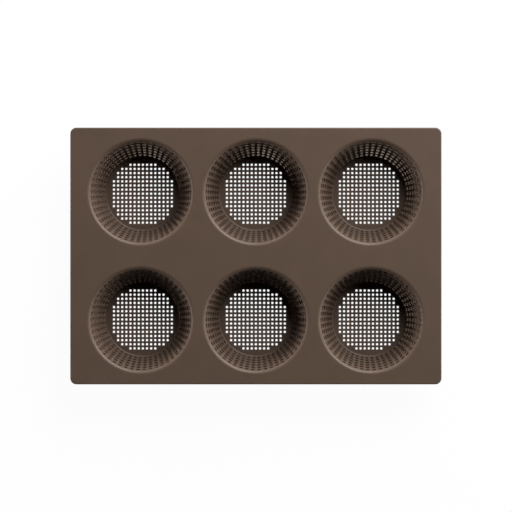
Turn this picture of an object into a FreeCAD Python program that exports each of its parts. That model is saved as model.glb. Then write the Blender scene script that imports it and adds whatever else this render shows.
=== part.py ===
"""Perforated silicone bread roll mould: one moulding with six open-work cups hung from a flat deck.

Millimetres, +Z up. The origin is at the middle of the mould, in the plane that the cup floors stand on.
"""
import FreeCAD
import Part
import math
import os

# Cups, with radii measured to the middle of the flats that their walls are made of
cups_along = 3
cups_across = 2
mouth_radius = 43.8
floor_radius = 30.1
mould_height = 30.0
lip_radius = 3.4
lip_chords = 3

# Deck round the cups
web_along = 5.4
web_across = 15.9
border_along = 13.2
border_across = 8.2
corner_radius = 5.0
edge_bevel = 0.8

# Even thickness of the moulding
skin = 2.0

# Slots in the cup walls, one column to a flat, with heights measured along the slanting wall
slot_columns = 24
slot_rows = 2
slot_open_share = 0.6
slot_above_floor = 4.0
slot_bar = 4.5
slot_below_lip = 2.2

# Square holes in the cup floors
holes_across = 6
hole_pitch = 8.8
hole_size = 4.7
plain_floor_ring = 4.0

# Sizes that follow
cup_pitch_along = 2 * mouth_radius + web_along
cup_pitch_across = 2 * mouth_radius + web_across
mould_length = (cups_along - 1) * cup_pitch_along + 2 * (mouth_radius + border_along)
mould_width = (cups_across - 1) * cup_pitch_across + 2 * (mouth_radius + border_across)
hole_field_radius = floor_radius - plain_floor_ring
column_angle = 360 / slot_columns
deck_underside = mould_height - skin

UP = FreeCAD.Vector(0, 0, 1)
ORIGIN = FreeCAD.Vector(0, 0, 0)


def point(radius, height):
    """A point of a section, which is drawn in the XZ plane."""
    return FreeCAD.Vector(radius, 0, height)


def closed_face(points):
    """The flat face inside a ring of points."""
    return Part.Face(Part.makePolygon(points + points[:1]))


def arc_points(centre, radius, first_angle, last_angle, chords):
    """Points on an arc of a section, both ends included."""
    step = math.radians(last_angle - first_angle) / chords
    angles = [math.radians(first_angle) + step * number for number in range(chords + 1)]
    return [centre + point(radius * math.cos(angle), radius * math.sin(angle)) for angle in angles]


def turned_in_a_flat(section, degrees):
    """The solid that a section sweeps between two upright planes through the axis, with flat faces."""
    spread = math.tan(math.radians(degrees / 2))
    left = [FreeCAD.Vector(corner.x, -corner.x * spread, corner.z) for corner in section]
    right = [FreeCAD.Vector(corner.x, corner.x * spread, corner.z) for corner in section]
    faces = [closed_face(left), closed_face(right)]
    for start in range(len(section)):
        end = (start + 1) % len(section)
        faces.append(closed_face([left[start], left[end], right[end], right[start]]))
    solid = Part.Solid(Part.Shell(faces))
    return solid if solid.Volume > 0 else solid.reversed()


def copies_round_axis(shape, count):
    """Copies of a shape, evenly spaced round the Z axis."""
    copies = []
    for number in range(count):
        copy = shape.copy()
        copy.rotate(ORIGIN, UP, number * 360 / count)
        copies.append(copy)
    return copies


class CupWall:
    """The slanting inner face of a cup: from the floor's edge it runs tangent to the lip's arc."""

    def __init__(self):
        self.foot = point(floor_radius, skin)
        self.lip_centre = point(mouth_radius, mould_height - lip_radius)
        reach = self.lip_centre - self.foot
        slope = math.atan2(reach.z, reach.x) + math.asin(lip_radius / reach.Length)
        self.slope = math.degrees(slope)
        self.length = math.sqrt(reach.Length**2 - lip_radius**2)
        self.along = point(math.cos(slope), math.sin(slope))
        self.outward = point(math.sin(slope), -math.cos(slope))

    def at(self, distance, depth):
        """The point this far up the wall from the floor and this deep in it, from its inner face."""
        return self.foot + self.along * distance + self.outward * depth

    def outer_at_height(self, height):
        """The point of the wall's outer face at a height."""
        start = self.at(0, skin)
        return start + self.along * ((height - start.z) / self.along.z)


def make_stave(wall):
    """One flat of the cup's wall, from the floor's edge to the top of the lip, with its column of slots."""
    lip = arc_points(wall.lip_centre, lip_radius, 90, 90 + wall.slope, lip_chords)
    section = lip + [
        wall.foot,
        point(floor_radius, 0),
        wall.outer_at_height(0),
        wall.outer_at_height(deck_underside),
        point(mouth_radius, deck_underside),
    ]
    slotted = wall.length - slot_above_floor - slot_below_lip
    slot_height = (slotted - (slot_rows - 1) * slot_bar) / slot_rows
    slots = []
    for row in range(slot_rows):
        low = slot_above_floor + row * (slot_height + slot_bar)
        high = low + slot_height
        slot = [wall.at(low, -skin), wall.at(low, 2 * skin), wall.at(high, 2 * skin), wall.at(high, -skin)]
        slots.append(turned_in_a_flat(slot, slot_open_share * column_angle))
    return turned_in_a_flat(section, column_angle).cut(slots)


def flat_sided_disc(radius, thickness):
    """A disc with one flat to each stave of the wall."""
    corner_distance = radius / math.cos(math.radians(column_angle / 2))
    corners = []
    for number in range(slot_columns):
        angle = math.radians((number + 0.5) * column_angle)
        corners.append(FreeCAD.Vector(corner_distance * math.cos(angle), corner_distance * math.sin(angle), 0))
    return closed_face(corners).extrude(UP * thickness)


def make_floor():
    """The cup's floor, with a square grid of holes that is clipped to a disc."""
    holes = []
    for column in range(holes_across):
        for row in range(holes_across):
            x = (column - (holes_across - 1) / 2) * hole_pitch
            y = (row - (holes_across - 1) / 2) * hole_pitch
            if math.hypot(x, y) <= hole_field_radius:
                corner = FreeCAD.Vector(x - hole_size / 2, y - hole_size / 2, 0)
                holes.append(Part.makeBox(hole_size, hole_size, skin, corner))
    return flat_sided_disc(floor_radius, skin).cut(holes)


def make_cup():
    """A whole cup: its floor and the ring of staves that stands round it."""
    return make_floor().fuse(copies_round_axis(make_stave(CupWall()), slot_columns))


def make_deck():
    """The flat deck with its rounded corners and bevelled top edge, before the cups are let in."""
    low_corner = FreeCAD.Vector(-mould_length / 2, -mould_width / 2, deck_underside)
    plate = Part.makeBox(mould_length, mould_width, skin, low_corner)
    corners = [edge for edge in plate.Edges if edge.BoundBox.ZLength > skin / 2]
    plate = plate.makeFillet(corner_radius, corners)
    top_edges = [edge for edge in plate.Edges if edge.BoundBox.ZMin > deck_underside + skin / 2]
    return plate.makeChamfer(edge_bevel, top_edges)


def make_mould():
    """Lets the perforated cups into the deck and joins them to it as one solid."""
    cup = make_cup()
    mouth = flat_sided_disc(mouth_radius, mould_height)
    mouths = []
    cups = []
    for column in range(cups_along):
        for row in range(cups_across):
            place = FreeCAD.Vector(
                (column - (cups_along - 1) / 2) * cup_pitch_along,
                (row - (cups_across - 1) / 2) * cup_pitch_across,
                0,
            )
            mouths.append(mouth.translated(place))
            cups.append(cup.translated(place))
    return make_deck().cut(mouths).fuse(cups).removeSplitter()


os.makedirs("parts", exist_ok=True)
make_mould().Solids[0].exportStep("parts/bread_roll_mould.step")
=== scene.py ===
"""Looks of the silicone bread roll mould: a flat deck with six open-work cups, lying on white.

Lengths are written in millimetres and turned to metres as the meshes are made.
"""

import math

import bmesh
import bpy
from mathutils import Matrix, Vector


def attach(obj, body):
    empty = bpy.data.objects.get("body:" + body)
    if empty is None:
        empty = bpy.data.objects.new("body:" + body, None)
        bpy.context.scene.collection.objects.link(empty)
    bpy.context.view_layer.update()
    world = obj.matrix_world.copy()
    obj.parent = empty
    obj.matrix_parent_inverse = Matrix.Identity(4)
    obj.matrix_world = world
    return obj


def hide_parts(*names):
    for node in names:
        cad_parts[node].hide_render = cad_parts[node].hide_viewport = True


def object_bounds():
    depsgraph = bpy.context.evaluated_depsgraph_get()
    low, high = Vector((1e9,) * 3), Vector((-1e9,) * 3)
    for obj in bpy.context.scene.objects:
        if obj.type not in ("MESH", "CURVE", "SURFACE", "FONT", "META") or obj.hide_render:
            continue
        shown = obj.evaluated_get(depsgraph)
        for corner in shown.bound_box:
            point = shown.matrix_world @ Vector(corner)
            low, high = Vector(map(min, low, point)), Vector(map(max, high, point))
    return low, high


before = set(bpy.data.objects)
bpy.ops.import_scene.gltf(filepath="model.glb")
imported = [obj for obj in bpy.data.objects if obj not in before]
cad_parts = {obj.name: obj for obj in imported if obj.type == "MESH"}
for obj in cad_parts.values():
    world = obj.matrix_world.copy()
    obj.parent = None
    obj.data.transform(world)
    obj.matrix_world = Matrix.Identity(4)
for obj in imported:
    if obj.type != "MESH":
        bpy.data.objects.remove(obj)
solid_low, solid_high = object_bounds()

MM = 0.001

# The moulding, as its source gives it
SKIN = 2.0
MOULD_HEIGHT = 30.0
CUPS_ALONG = 3
CUPS_ACROSS = 2
CUP_PITCH_ALONG = 93.0
CUP_PITCH_ACROSS = 103.5
MOUTH_RADIUS = 43.8
FLOOR_RADIUS = 30.1
LIP_RADIUS = 3.4
CORNER_RADIUS = 5.0

# Open work of the walls: a slot's width is a share of its column, its heights run along the wall,
# and the bars between the slots lie deeper than the ribs by the recess
SLOT_COLUMNS = 50
SLOT_ROWS = 6
SLOT_OPEN_SHARE = 0.6
SLOT_HEIGHT = 2.75
SLOT_ABOVE_ROW_START = 1.65
BAR_RECESS = 0.35

# Open work of the floors
HOLE_PITCH = 3.4
HOLE_SIZE = 1.8
HOLES_ACROSS = 15
HOLE_FIELD_RADIUS = 27.0

# Small radii that the moulding's edges have
SLOT_CORNER = 0.45
HOLE_CORNER = 0.35
RIB_ROUNDING = 0.25
HOLE_ROUNDING = 0.2
FOOT_FILLET = 0.6
EDGE_ROUNDING = 0.8
LOWER_EDGE_ROUNDING = 0.5

# Surface of the silicone: flow clouds, and the satin grain at the size that it is drawn
CLOUD_SIZE = 18.0
GRAIN_SIZE = 0.9
GRAIN_DEPTH = 0.1
SILICONE_IOR = 1.41

# How finely the roundings are drawn
LIP_STEPS = 6
RIB_STEPS = 2
FOOT_STEPS = 3
EDGE_STEPS = 3
CORNER_STEPS = 6
SMOOTH_ANGLE = 40

# How the skins meet: a plain strip beside each rounding, and the distances that count as none
PLAIN_RING = 0.4
SAME_HEIGHT = 0.01
SAME_POINT = 0.02
SAME_POINT_DIGITS = 4

# Cells and strips are one column wide, with x in columns
HALF_COLUMN = 0.5

# Studio, in metres, with the share of plain white that the camera sees in the floor
LAMP_DISTANCE = 1.6
STUDIO_HALF_SIZE = 6.0
FLOOR_BELOW_MOULD = 0.0002
FLOOR_WHITE_SHARE = 0.95


def add_node(tree, kind, inputs=None, **settings):
    """Adds a node. Each input, by name or by place, takes a value or the socket that feeds it."""
    made = tree.nodes.new(kind)
    for name, value in settings.items():
        setattr(made, name, value)
    for place, value in (inputs or {}).items():
        if isinstance(value, bpy.types.NodeSocket):
            tree.links.new(value, made.inputs[place])
        else:
            made.inputs[place].default_value = value
    return made


def linear(hex_colour):
    """The linear colour of an sRGB hex value."""
    colour = []
    for place in (1, 3, 5):
        value = int(hex_colour[place:place + 2], 16) / 255
        colour.append(value / 12.92 if value <= 0.04045 else ((value + 0.055) / 1.055) ** 2.4)
    return colour + [1.0]


def link_mesh(name, builder):
    """Puts a built mesh in the scene as an object at the origin."""
    mesh = bpy.data.meshes.new(name)
    builder.to_mesh(mesh)
    builder.free()
    made = bpy.data.objects.new(name, mesh)
    bpy.context.scene.collection.objects.link(made)
    return made


def rectangle(low_x, low_y, high_x, high_y):
    """A rectangle's corners, anticlockwise from the lower left."""
    return [(low_x, low_y), (high_x, low_y), (high_x, high_y), (low_x, high_y)]


def octagon(half_width, half_height, cut_across, cut_up):
    """A rectangle's outline with its corners cut, anticlockwise from the lower edge."""
    return [
        (-half_width + cut_across, -half_height),
        (half_width - cut_across, -half_height),
        (half_width, -half_height + cut_up),
        (half_width, half_height - cut_up),
        (half_width - cut_across, half_height),
        (-half_width + cut_across, half_height),
        (-half_width, half_height - cut_up),
        (-half_width, -half_height + cut_up),
    ]


def arc(centre, radius, first, last, steps):
    """Points of a section along an arc, as pairs of distance out and height, with angles in degrees."""
    out, up = centre
    angles = [math.radians(first + (last - first) * step / steps) for step in range(steps + 1)]
    return [(out + radius * math.cos(angle), up + radius * math.sin(angle)) for angle in angles]


def spaced(count, pitch):
    """Places along a line, a pitch apart and evenly about its middle."""
    return [(step - (count - 1) / 2) * pitch for step in range(count)]


# The wall's inner face runs from the foot, at the floor's edge, tangent to the lip's arc
lip_centre = (MOUTH_RADIUS, MOULD_HEIGHT - LIP_RADIUS)
reach_out = lip_centre[0] - FLOOR_RADIUS
reach_up = lip_centre[1] - SKIN
reach = math.hypot(reach_out, reach_up)
wall_slope = math.atan2(reach_up, reach_out) + math.asin(LIP_RADIUS / reach)
wall_length = math.sqrt(reach ** 2 - LIP_RADIUS ** 2)
row_pitch = wall_length / SLOT_ROWS
foot_reach = FOOT_FILLET * math.tan(wall_slope / 2)
floor_edge = FLOOR_RADIUS - foot_reach
lip_end = 90 + math.degrees(wall_slope)
foot_end = math.degrees(wall_slope) - 90

# Half a rib's section, from the middle of its crown over its rounded edge to the slot's side, as places
# across the column, in columns, and heights
column_at_mid_wall = math.tau * (FLOOR_RADIUS + wall_length * math.cos(wall_slope) / 2) / SLOT_COLUMNS
slot_side = SLOT_OPEN_SHARE / 2
rounding_centre = (slot_side * column_at_mid_wall + RIB_ROUNDING, -RIB_ROUNDING)
rib_section = [(HALF_COLUMN, 0.0)]
for across, height in arc(rounding_centre, RIB_ROUNDING, 90, 180, RIB_STEPS):
    rib_section.append((across / column_at_mid_wall, height))


def ring(builder, outline, height):
    """Vertices of a flat outline at a height."""
    return [builder.verts.new((x, y, height)) for x, y in outline]


def bridge(builder, upper, lower):
    """Faces between two outlines of as many corners, whose walls face inwards."""
    for place in range(len(upper)):
        builder.faces.new((upper[place - 1], upper[place], lower[place], lower[place - 1]))


def plate_round(builder, corners, opening, faces_up):
    """The flat plate between a rectangle and the eight-cornered opening in it."""
    for corner in range(4):
        after = (corner + 1) % 4
        near, far = 2 * corner, 2 * corner + 1
        beyond = (far + 1) % 8
        strip = (corners[corner], corners[after], opening[far], opening[near])
        patch = (corners[after], opening[beyond], opening[far])
        for face in (strip, patch):
            builder.faces.new(face if faces_up else face[::-1])


def make_slot_cell():
    """A wall cell, one column wide and one row high, laid flat with the wall's inner face up.

    Its x runs in columns, its y up the wall from the start of the row. Half a rib stands at each side,
    and the bars over and under the slot lie a little deeper than the ribs.
    """
    low = SLOT_ABOVE_ROW_START * MM
    high = low + SLOT_HEIGHT * MM
    row = row_pitch * MM
    outline = octagon(slot_side, (high - low) / 2, SLOT_CORNER / column_at_mid_wall, SLOT_CORNER * MM)
    outline = [(x, y + (low + high) / 2) for x, y in outline]
    builder = bmesh.new()
    opening = ring(builder, outline, -BAR_RECESS * MM)
    opening_under = ring(builder, outline, -SKIN * MM)
    bridge(builder, opening, opening_under)
    under = ring(builder, rectangle(-HALF_COLUMN, 0.0, HALF_COLUMN, row), -SKIN * MM)
    plate_round(builder, under, opening_under, False)
    bars = ring(builder, rectangle(-slot_side, 0.0, slot_side, row), -BAR_RECESS * MM)
    for corner in (0, 2):
        near, far = 2 * corner, 2 * corner + 1
        builder.faces.new((bars[corner], bars[corner + 1], opening[far], opening[near]))
        builder.faces.new((bars[corner + 1], opening[far + 1], opening[far]))
        builder.faces.new((bars[corner], opening[near], opening[near - 1]))
    for side, bar_start, bar_end, cut_start, cut_end in ((1, 1, 2, 2, 3), (-1, 0, 3, 7, 6)):
        lines = []
        for across, height in rib_section:
            lines.append(ring(builder, [(side * across, 0.0), (side * across, row)], height * MM))
        faces = [(*outer, *inner[::-1]) for outer, inner in zip(lines, lines[1:])]
        start, end = lines[-1]
        faces.append((start, opening[cut_start], bars[bar_start]))
        faces.append((start, end, opening[cut_end], opening[cut_start]))
        faces.append((end, bars[bar_end], opening[cut_end]))
        for face in faces:
            builder.faces.new(face if side > 0 else face[::-1])
    return link_mesh("slot_cell", builder)


def make_hole_cell():
    """A cell of the floor with its square hole, whose upper edge is rounded over."""
    half_cell = HOLE_PITCH / 2 * MM
    half_hole = HOLE_SIZE / 2 * MM
    rounding = HOLE_ROUNDING * MM
    cut = HOLE_CORNER * MM
    corners = rectangle(-half_cell, -half_cell, half_cell, half_cell)
    straight = octagon(half_hole, half_hole, cut, cut)
    builder = bmesh.new()
    mouth = ring(builder, octagon(half_hole + rounding, half_hole + rounding, cut, cut), SKIN * MM)
    shoulder = ring(builder, straight, SKIN * MM - rounding)
    opening_under = ring(builder, straight, 0.0)
    plate_round(builder, ring(builder, corners, SKIN * MM), mouth, True)
    bridge(builder, mouth, shoulder)
    bridge(builder, shoulder, opening_under)
    plate_round(builder, ring(builder, corners, 0.0), opening_under, False)
    return link_mesh("hole_cell", builder)


def make_rim_strip():
    """The plain parts of one column, unrolled: the lip and the foot, each with its upper and under side.

    Its x runs in columns, its y is the distance from the cup's axis.
    """
    foot_centre = (floor_edge, SKIN + FOOT_FILLET)
    lip_over = [(MOUTH_RADIUS + PLAIN_RING, MOULD_HEIGHT)]
    lip_over += arc(lip_centre, LIP_RADIUS, 90, lip_end, LIP_STEPS)
    lip_under = [(MOUTH_RADIUS + PLAIN_RING, MOULD_HEIGHT - SKIN)]
    lip_under += arc(lip_centre, LIP_RADIUS - SKIN, 90, lip_end, LIP_STEPS)
    foot_over = [(floor_edge - PLAIN_RING, SKIN)]
    foot_over += arc(foot_centre, FOOT_FILLET, -90, foot_end, FOOT_STEPS)
    foot_under = [(floor_edge - PLAIN_RING, 0.0)]
    foot_under += arc(foot_centre, FOOT_FILLET + SKIN, -90, foot_end, FOOT_STEPS)
    builder = bmesh.new()
    whole_column = (-HALF_COLUMN, HALF_COLUMN)
    half_column = [across for across, height in rib_section]
    ribbed_column = [-across for across in half_column] + half_column[::-1]
    for line, meets_ribs, faces_up in (
        (lip_over, True, True),
        (lip_under, False, False),
        (foot_over, True, False),
        (foot_under, False, True),
    ):
        rows = []
        for number, (out, up) in enumerate(line):
            ribbed = meets_ribs and number == len(line) - 1
            places = ribbed_column if ribbed else whole_column
            rows.append([builder.verts.new((across, out * MM, up * MM)) for across in places])
        for before, after in zip(rows, rows[1:]):
            face = (*before[::-1], *after)
            builder.faces.new(face if faces_up else face[::-1])
    return link_mesh("rim_strip", builder)


def closed_loop(builder, points):
    """Vertices and edges of a closed outline."""
    corners = [builder.verts.new(place) for place in points]
    edges = [builder.edges.new((corners[place - 1], corners[place])) for place in range(len(corners))]
    return corners, edges


def circle(centre, radius, height):
    """The circle that the columns' edges meet, as points in metres."""
    points = []
    for place in range(SLOT_COLUMNS):
        angle = math.tau * (place + HALF_COLUMN) / SLOT_COLUMNS
        x = centre[0] + radius * math.cos(angle)
        y = centre[1] + radius * math.sin(angle)
        points.append((x * MM, y * MM, height * MM))
    return points


def fill_between(builder, edges, faces_up):
    """Fills the plane between closed outlines, with its faces up or down."""
    made = bmesh.ops.triangle_fill(builder, use_beauty=True, use_dissolve=False, edges=edges)
    for face in made["geom"]:
        if isinstance(face, bmesh.types.BMFace) and (face.normal.z > 0) != faces_up:
            face.normal_flip()


def hole_centres():
    """Places of the floor's holes, on a square grid clipped to a disc."""
    places = spaced(HOLES_ACROSS, HOLE_PITCH)
    return [(x, y) for x in places for y in places if math.hypot(x, y) <= HOLE_FIELD_RADIUS]


def make_floor_border():
    """The plain ring of a cup's floor, from the stepped edge of its open work out to the foot."""
    sides = {}
    half = HOLE_PITCH / 2
    for x, y in hole_centres():
        corners = rectangle(x - half, y - half, x + half, y + half)
        corners = [tuple(round(part, SAME_POINT_DIGITS) for part in corner) for corner in corners]
        for start in range(4):
            side = frozenset((corners[start], corners[(start + 1) % 4]))
            sides[side] = sides.get(side, 0) + 1
    outline = [tuple(side) for side, times in sides.items() if times == 1]
    builder = bmesh.new()
    for height, faces_up in ((SKIN, True), (0.0, False)):
        edges = closed_loop(builder, circle((0, 0), floor_edge - PLAIN_RING, height))[1]
        corners = {}
        for side in outline:
            for x, y in side:
                if (x, y) not in corners:
                    corners[x, y] = builder.verts.new((x * MM, y * MM, height * MM))
        edges += [builder.edges.new((corners[start], corners[end])) for start, end in outline]
        fill_between(builder, edges, faces_up)
    return link_mesh("floor_border", builder)


def cup_centres():
    """Places of the cups' axes, in two rows of three."""
    across = spaced(CUPS_ACROSS, CUP_PITCH_ACROSS)
    return [(x, y) for x in spaced(CUPS_ALONG, CUP_PITCH_ALONG) for y in across]


def deck_outline(inset, height):
    """The deck's outline with rounded corners, drawn in by an inset, as points in metres."""
    radius = CORNER_RADIUS - inset
    half_length = solid_high.x / MM - CORNER_RADIUS
    half_width = solid_high.y / MM - CORNER_RADIUS
    points = []
    for quarter, side_x, side_y in ((0, 1, 1), (1, -1, 1), (2, -1, -1), (3, 1, -1)):
        centre = (side_x * half_length, side_y * half_width)
        for x, y in arc(centre, radius, 90 * quarter, 90 * quarter + 90, CORNER_STEPS):
            points.append((x * MM, y * MM, height * MM))
    return points


def make_deck():
    """The flat deck with softly rounded edges and six open mouths."""
    under = MOULD_HEIGHT - SKIN
    over_edge = arc((0, MOULD_HEIGHT - EDGE_ROUNDING), EDGE_ROUNDING, 90, 0, EDGE_STEPS)
    under_edge = arc((0, under + LOWER_EDGE_ROUNDING), LOWER_EDGE_ROUNDING, 0, -90, EDGE_STEPS)
    levels = [(EDGE_ROUNDING + PLAIN_RING, MOULD_HEIGHT)]
    levels += [(EDGE_ROUNDING - out, up) for out, up in over_edge]
    levels += [(LOWER_EDGE_ROUNDING - out, up) for out, up in under_edge]
    levels.append((LOWER_EDGE_ROUNDING + PLAIN_RING, under))
    builder = bmesh.new()
    loops = [closed_loop(builder, deck_outline(inset, height)) for inset, height in levels]
    for upper, lower in zip(loops, loops[1:]):
        for place in range(len(upper[0])):
            before = place - 1
            builder.faces.new((upper[0][place], upper[0][before], lower[0][before], lower[0][place]))
    for outer, height, faces_up in ((loops[0], MOULD_HEIGHT, True), (loops[-1], under, False)):
        edges = list(outer[1])
        for centre in cup_centres():
            edges += closed_loop(builder, circle(centre, MOUTH_RADIUS + PLAIN_RING, height))[1]
        fill_between(builder, edges, faces_up)
    return link_mesh("mould", builder)


def make_open_work_tree():
    """Geometry nodes that roll up the cups' walls, lay out their floors and hang the cups in the deck."""
    tree = bpy.data.node_groups.new("open_work", "GeometryNodeTree")
    face = tree.interface
    face.new_socket("Deck", in_out="INPUT", socket_type="NodeSocketGeometry")
    for name, kind in (
        ("Slot cell", "NodeSocketObject"),
        ("Rim strip", "NodeSocketObject"),
        ("Hole cell", "NodeSocketObject"),
        ("Floor border", "NodeSocketObject"),
        ("Silicone", "NodeSocketMaterial"),
        ("Columns", "NodeSocketInt"),
        ("Rows", "NodeSocketInt"),
        ("Row pitch", "NodeSocketFloat"),
        ("Foot radius", "NodeSocketFloat"),
        ("Foot height", "NodeSocketFloat"),
        ("Foot reach", "NodeSocketFloat"),
        ("Half skin", "NodeSocketFloat"),
        ("Wall slope", "NodeSocketFloat"),
        ("Hole pitch", "NodeSocketFloat"),
        ("Holes across", "NodeSocketInt"),
        ("Hole field radius", "NodeSocketFloat"),
        ("Cups along", "NodeSocketInt"),
        ("Cups across", "NodeSocketInt"),
        ("Cup pitch along", "NodeSocketFloat"),
        ("Cup pitch across", "NodeSocketFloat"),
    ):
        face.new_socket(name, in_out="INPUT", socket_type=kind)
    face.new_socket("Mould", in_out="OUTPUT", socket_type="NodeSocketGeometry")
    given = tree.nodes.new("NodeGroupInput").outputs

    def calculate(operation, first, second=0.0):
        return add_node(tree, "ShaderNodeMath", {0: first, 1: second}, operation=operation).outputs[0]

    def shape_of(name):
        return add_node(tree, "GeometryNodeObjectInfo", {"Object": given[name]}).outputs["Geometry"]

    def copies(points, shape, wanted=True):
        inputs = {"Points": points, "Instance": shape, "Selection": wanted}
        placed = add_node(tree, "GeometryNodeInstanceOnPoints", inputs).outputs[0]
        return add_node(tree, "GeometryNodeRealizeInstances", {0: placed}).outputs[0]

    def grid(columns, column_pitch, rows, rows_pitch):
        length = calculate("MULTIPLY", calculate("SUBTRACT", columns, 1.0), column_pitch)
        width = calculate("MULTIPLY", calculate("SUBTRACT", rows, 1.0), rows_pitch)
        inputs = {"Size X": length, "Size Y": width, "Vertices X": columns, "Vertices Y": rows}
        return add_node(tree, "GeometryNodeMeshGrid", inputs).outputs["Mesh"], length, width

    # The wall is laid out flat. Its foot is drawn up to the fillet and its bars rise to the ribs at both
    # ends, where the foot and the lip go on. Then it is leaned to its slope.
    cells, length, width = grid(given["Columns"], 1.0, given["Rows"], given["Row pitch"])
    half = [calculate("MULTIPLY", size, 0.5) for size in (length, width)]
    start = add_node(tree, "ShaderNodeCombineXYZ", {0: half[0], 1: half[1]}).outputs[0]
    cells = add_node(tree, "GeometryNodeTransform", {"Geometry": cells, "Translation": start}).outputs[0]
    wall = copies(cells, shape_of("Slot cell"))
    place = add_node(tree, "GeometryNodeInputPosition").outputs[0]
    across, up, proud = add_node(tree, "ShaderNodeSeparateXYZ", {0: place}).outputs
    above_foot = calculate("MAXIMUM", up, given["Foot reach"])
    wall_top = calculate("MULTIPLY", given["Rows"], given["Row pitch"])
    at_top = calculate("GREATER_THAN", up, calculate("SUBTRACT", wall_top, SAME_HEIGHT * MM))
    at_foot = calculate("LESS_THAN", up, given["Foot reach"])
    inside = calculate("GREATER_THAN", proud, calculate("MULTIPLY", given["Half skin"], -1.0))
    rising = calculate("MULTIPLY", calculate("MAXIMUM", at_top, at_foot), inside)
    height = calculate("MULTIPLY", proud, calculate("SUBTRACT", 1.0, rising))
    drawn_up = add_node(tree, "ShaderNodeCombineXYZ", {0: across, 1: above_foot, 2: height}).outputs[0]
    wall = add_node(tree, "GeometryNodeSetPosition", {"Geometry": wall, "Position": drawn_up}).outputs[0]
    lean = add_node(tree, "ShaderNodeCombineXYZ", {0: given["Wall slope"]}).outputs[0]
    inputs = {1: given["Foot radius"], 2: given["Foot height"]}
    foot = add_node(tree, "ShaderNodeCombineXYZ", inputs).outputs[0]
    inputs = {"Geometry": wall, "Translation": foot, "Rotation": lean}
    wall = add_node(tree, "GeometryNodeTransform", inputs).outputs[0]

    # The lip and the foot stand beside it, one strip to a column
    inputs = {"Count": given["Columns"], "Offset": (1.0, 0.0, 0.0)}
    line = add_node(tree, "GeometryNodeMeshLine", inputs).outputs[0]
    rim = copies(line, shape_of("Rim strip"))
    flat = add_node(tree, "GeometryNodeJoinGeometry", {0: wall})
    tree.links.new(rim, flat.inputs[0])

    # Both are rolled up round the cup's axis, clockwise, so that their faces go on pointing outwards
    place = add_node(tree, "GeometryNodeInputPosition").outputs[0]
    across, out, up = add_node(tree, "ShaderNodeSeparateXYZ", {0: place}).outputs
    turn = calculate("DIVIDE", calculate("MULTIPLY", across, -math.tau), given["Columns"])
    x = calculate("MULTIPLY", out, calculate("COSINE", turn))
    y = calculate("MULTIPLY", out, calculate("SINE", turn))
    rolled = add_node(tree, "ShaderNodeCombineXYZ", {0: x, 1: y, 2: up}).outputs[0]
    inputs = {"Geometry": flat.outputs[0], "Position": rolled}
    side = add_node(tree, "GeometryNodeSetPosition", inputs).outputs[0]

    # The floor's cells are kept where their holes lie in a disc
    row_of_holes = (given["Holes across"], given["Hole pitch"])
    holes = grid(*row_of_holes, *row_of_holes)[0]
    place = add_node(tree, "GeometryNodeInputPosition").outputs[0]
    distance = add_node(tree, "ShaderNodeVectorMath", {0: place}, operation="LENGTH").outputs["Value"]
    inside = calculate("LESS_THAN", distance, given["Hole field radius"])
    floor_work = copies(holes, shape_of("Hole cell"), inside)
    cup = add_node(tree, "GeometryNodeJoinGeometry", {0: side})
    tree.links.new(floor_work, cup.inputs[0])
    tree.links.new(shape_of("Floor border"), cup.inputs[0])

    # Six cups hang from the deck, joined to it as one skin
    sizes = ("Cups along", "Cup pitch along", "Cups across", "Cup pitch across")
    cups = copies(grid(*[given[name] for name in sizes])[0], cup.outputs[0])
    joined = add_node(tree, "GeometryNodeJoinGeometry", {0: cups})
    tree.links.new(given["Deck"], joined.inputs[0])
    inputs = {"Geometry": joined.outputs[0], "Distance": SAME_POINT * MM}
    one_skin = add_node(tree, "GeometryNodeMergeByDistance", inputs).outputs[0]
    inputs = {"Geometry": one_skin, "Material": given["Silicone"]}
    coloured = add_node(tree, "GeometryNodeSetMaterial", inputs).outputs[0]
    add_node(tree, "NodeGroupOutput", {0: coloured})
    return tree


def make_silicone():
    """Matte moulded silicone rubber, dark brown.

    Compression moulding against an etched tool leaves a fine satin grain, so the deck shows no
    clear reflection, while lips and ribs that turn to the light shine softly. The pigment is even,
    with slight clouding where the rubber flowed.
    """
    material = bpy.data.materials.new("moulded_silicone_rubber_brown")
    material.use_nodes = True
    tree = material.node_tree
    shader = tree.nodes["Principled BSDF"]
    shader.inputs["IOR"].default_value = SILICONE_IOR
    place = add_node(tree, "ShaderNodeTexCoord").outputs["Object"]

    # Flow clouds, which tint the brown a little
    inputs = {"Vector": place, "Scale": 1 / (CLOUD_SIZE * MM), "Detail": 3.0}
    clouds = add_node(tree, "ShaderNodeTexNoise", inputs).outputs["Fac"]
    browns = {"A": linear("#514238"), "B": linear("#58483D")}
    colour = add_node(tree, "ShaderNodeMix", data_type="RGBA")
    for socket in colour.inputs:
        if socket.name == "Factor" and socket.type == "VALUE":
            tree.links.new(clouds, socket)
        elif socket.type == "RGBA":
            socket.default_value = browns[socket.name]
    mixed = next(socket for socket in colour.outputs if socket.type == "RGBA")
    tree.links.new(mixed, shader.inputs["Base Color"])

    # Satin grain of the tool, really about 0.1 mm across and drawn coarser, so that it shows
    inputs = {"Vector": place, "Scale": 1 / (GRAIN_SIZE * MM), "Detail": 2.0}
    grain = add_node(tree, "ShaderNodeTexNoise", inputs).outputs["Fac"]
    inputs = {"Value": grain, "To Min": 0.34, "To Max": 0.44}
    roughness = add_node(tree, "ShaderNodeMapRange", inputs).outputs["Result"]
    tree.links.new(roughness, shader.inputs["Roughness"])
    inputs = {"Height": grain, "Strength": 0.15, "Distance": GRAIN_DEPTH * MM}
    bump = add_node(tree, "ShaderNodeBump", inputs).outputs["Normal"]
    tree.links.new(bump, shader.inputs["Normal"])
    return material


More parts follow.
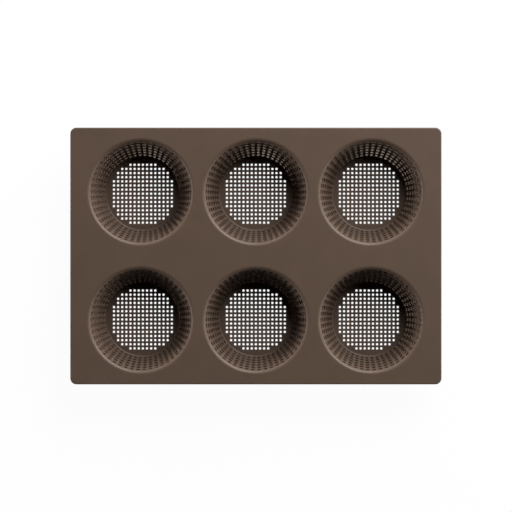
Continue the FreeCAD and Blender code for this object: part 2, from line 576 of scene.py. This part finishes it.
def make_mould():
    """The whole moulding, in full open work, as one plain mesh."""
    deck = make_deck()
    tree = make_open_work_tree()
    parts = {
        "Slot cell": make_slot_cell(),
        "Rim strip": make_rim_strip(),
        "Hole cell": make_hole_cell(),
        "Floor border": make_floor_border(),
    }
    inputs = {
        **parts,
        "Silicone": make_silicone(),
        "Columns": SLOT_COLUMNS,
        "Rows": SLOT_ROWS,
        "Row pitch": row_pitch * MM,
        "Foot radius": FLOOR_RADIUS * MM,
        "Foot height": SKIN * MM,
        "Foot reach": foot_reach * MM,
        "Half skin": SKIN / 2 * MM,
        "Wall slope": wall_slope,
        "Hole pitch": HOLE_PITCH * MM,
        "Holes across": HOLES_ACROSS,
        "Hole field radius": HOLE_FIELD_RADIUS * MM,
        "Cups along": CUPS_ALONG,
        "Cups across": CUPS_ACROSS,
        "Cup pitch along": CUP_PITCH_ALONG * MM,
        "Cup pitch across": CUP_PITCH_ACROSS * MM,
    }
    modifier = deck.modifiers.new("open_work", "NODES")
    modifier.node_group = tree
    for socket in tree.interface.items_tree:
        if socket.name in inputs:
            modifier[socket.identifier] = inputs[socket.name]
    deck.update_tag()
    evaluated = deck.evaluated_get(bpy.context.evaluated_depsgraph_get())
    mesh = bpy.data.meshes.new_from_object(evaluated)
    deck.modifiers.remove(modifier)
    deck.data = mesh
    for part in parts.values():
        bpy.data.objects.remove(part)
    mesh.shade_smooth()
    mesh.set_sharp_from_angle(angle=math.radians(SMOOTH_ANGLE))
    return deck


def make_floor():
    """A floor that shows as white to the camera and keeps a faint shadow of the mould."""
    builder = bmesh.new()
    half = STUDIO_HALF_SIZE
    builder.faces.new(ring(builder, rectangle(-half, -half, half, half), -FLOOR_BELOW_MOULD))
    floor = link_mesh("white_floor", builder)
    material = bpy.data.materials.new("white_paper_sweep")
    material.use_nodes = True
    tree = material.node_tree
    tree.nodes.clear()
    seen = add_node(tree, "ShaderNodeLightPath").outputs
    plain = seen["Is Camera Ray"]
    for other in ("Is Glossy Ray", "Is Transmission Ray"):
        inputs = {0: plain, 1: seen[other]}
        plain = add_node(tree, "ShaderNodeMath", inputs, operation="MAXIMUM").outputs[0]
    inputs = {0: plain, 1: FLOOR_WHITE_SHARE}
    share = add_node(tree, "ShaderNodeMath", inputs, operation="MULTIPLY").outputs[0]
    paper = add_node(tree, "ShaderNodeBsdfDiffuse", {"Color": linear("#F2F2F0")}).outputs[0]
    white = add_node(tree, "ShaderNodeEmission", {"Strength": 1.0}).outputs[0]
    surface = add_node(tree, "ShaderNodeMixShader", {0: share, 1: paper, 2: white}).outputs[0]
    add_node(tree, "ShaderNodeOutputMaterial", {"Surface": surface})
    floor.data.materials.append(material)


def make_light():
    """A softbox at the upper right, soft low light from three sides, and white for the camera alone.

    A lamp's place is its azimuth from +X and its elevation as seen from the mould, in degrees. Its width
    and height are in metres and its power in watts. The three low lights leave no glare on the deck, and
    the weak strips beside them draw the lips' highlights.
    """
    for name, azimuth, elevation, width, height, power, glossy in (
        ("high_softbox", 60.0, 36.0, 1.5, 1.1, 39.0, True),
        ("back_light", 88.0, 10.0, 0.9, 0.3, 15.5, False),
        ("right_light", 0.0, 8.0, 0.6, 0.3, 19.0, False),
        ("left_light", 180.0, 8.0, 0.6, 0.3, 20.0, False),
        ("back_strip", 115.0, 10.0, 1.0, 0.3, 5.0, True),
        ("right_strip", 2.0, 8.0, 2.0, 0.3, 10.0, True),
        ("left_strip", 187.0, 8.0, 1.4, 0.3, 7.5, True),
    ):
        lamp = bpy.data.lights.new(name, "AREA")
        lamp.shape = "RECTANGLE"
        lamp.size = width
        lamp.size_y = height
        lamp.energy = power
        made = bpy.data.objects.new(name, lamp)
        bpy.context.scene.collection.objects.link(made)
        made.visible_camera = False
        made.visible_glossy = glossy
        turn, rise = math.radians(azimuth), math.radians(elevation)
        toward = (math.cos(turn) * math.cos(rise), math.sin(turn) * math.cos(rise), math.sin(rise))
        made.location = [LAMP_DISTANCE * part for part in toward]
        made.rotation_euler = made.location.to_track_quat("Z", "Y").to_euler()
    world = bpy.data.worlds.new("white_room")
    bpy.context.scene.world = world
    world.use_nodes = True
    seen = add_node(world.node_tree, "ShaderNodeLightPath").outputs["Is Camera Ray"]
    room = world.node_tree.nodes["Background"]
    room.inputs["Color"].default_value = (1.0, 1.0, 1.0, 1.0)
    world.node_tree.links.new(seen, room.inputs["Strength"])


def make_camera():
    """Looks straight down, with the deck across 371 of the picture's 512 pixels."""
    distance = 1.5
    frame_width = 0.4135
    shift_up = 0.06
    right_of_middle = 0.0001
    lens = bpy.data.cameras.new("overhead")
    lens.sensor_width = 36.0
    lens.lens = lens.sensor_width * distance / frame_width
    lens.shift_y = shift_up
    camera = bpy.data.objects.new("overhead", lens)
    bpy.context.scene.collection.objects.link(camera)
    camera.location = (right_of_middle, -shift_up * frame_width, solid_high.z + distance)
    bpy.context.scene.camera = camera


mould = make_mould()
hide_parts("bread_roll_mould")
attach(mould, "root")
make_floor()
make_light()
make_camera()
bpy.context.scene.view_settings.view_transform = "Standard"
